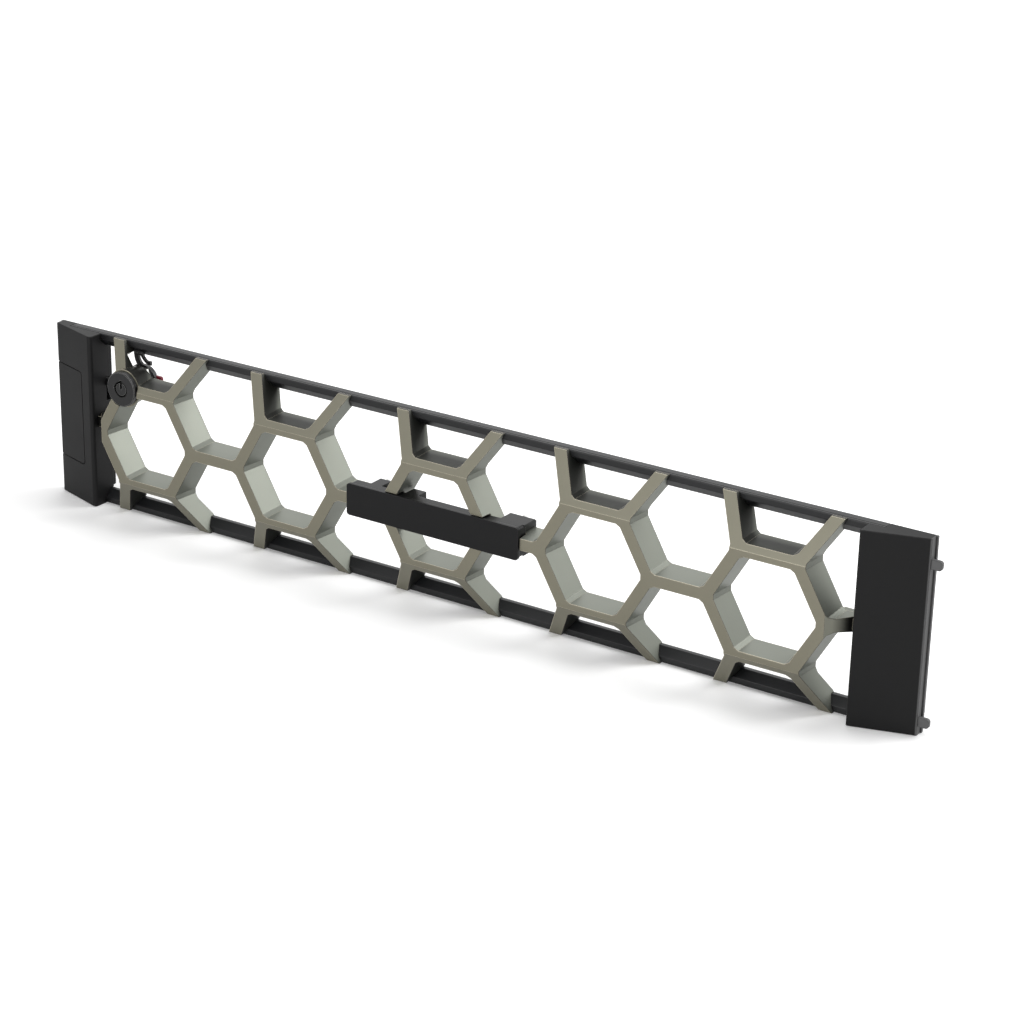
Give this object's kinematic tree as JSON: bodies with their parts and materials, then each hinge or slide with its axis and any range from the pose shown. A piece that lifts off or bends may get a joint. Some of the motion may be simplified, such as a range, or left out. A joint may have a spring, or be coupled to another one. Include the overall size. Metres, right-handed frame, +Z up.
{
  "type": "server front bezel",
  "caption": "Rack server front bezel with an open honeycomb grille, end caps, a keyed cam lock, a blank badge plate and a hinged release button with latch hooks.",
  "frame": {"origin": "middle of the underside of the bottom rail, on which the bezel stands", "axes": "+X to the right along the bezel, +Y to the back towards the server, +Z up"},
  "size_m": [0.4682, 0.0275, 0.0868],
  "materials": {
    "grille_plastic": "warm grey metallic paint, satin",
    "black_plastic": "satin",
    "rail_metal": "satin black",
    "black_metal": "satin",
    "steel": "zinc plated",
    "badge_black": "satin",
    "red_plastic": "gloss"
  },
  "bodies": {
    "frame": {"honeycomb_grille": "grille_plastic", "bottom_rail": "rail_metal", "top_rail": "rail_metal", "left_cap": "black_plastic", "right_cap": "black_plastic", "left_back_cover": "black_plastic", "right_back_cover": "black_plastic", "release_pin": "steel", "pin_clip": "steel", "release_spring": "steel", "lock_barrel": "black_metal", "lock_bracket": "black_metal", "lock_nut": "steel", "badge_plate": "badge_black", "badge_carrier": "badge_black", "badge_retainer_left": "black_metal", "badge_retainer_right": "black_metal", "badge_screws": "steel", "rail_screws": "steel", "cover_screws": "steel"},
    "lock_core": {"lock_plug": "black_metal", "lock_cam": "black_metal", "cam_tip": "red_plastic", "cam_screw": "steel"},
    "release": {"release_lever": "black_plastic"}
  },
  "joints": [
    {"name": "lock_turn", "type": "hinge", "parent": "frame", "child": "lock_core", "pos_m": [-0.1794, 0, 0.0673], "axis": [0, 1, 0], "range_deg": [-90, 0]},
    {"name": "release_press", "type": "hinge", "parent": "frame", "child": "release", "pos_m": [-0.2125, -0.0025, 0.0434], "axis": [0, 0, 1], "range_deg": [-6.5, 0], "stiffness_Nm_per_rad": 0.02, "deforming": ["release_spring"]}
  ]
}
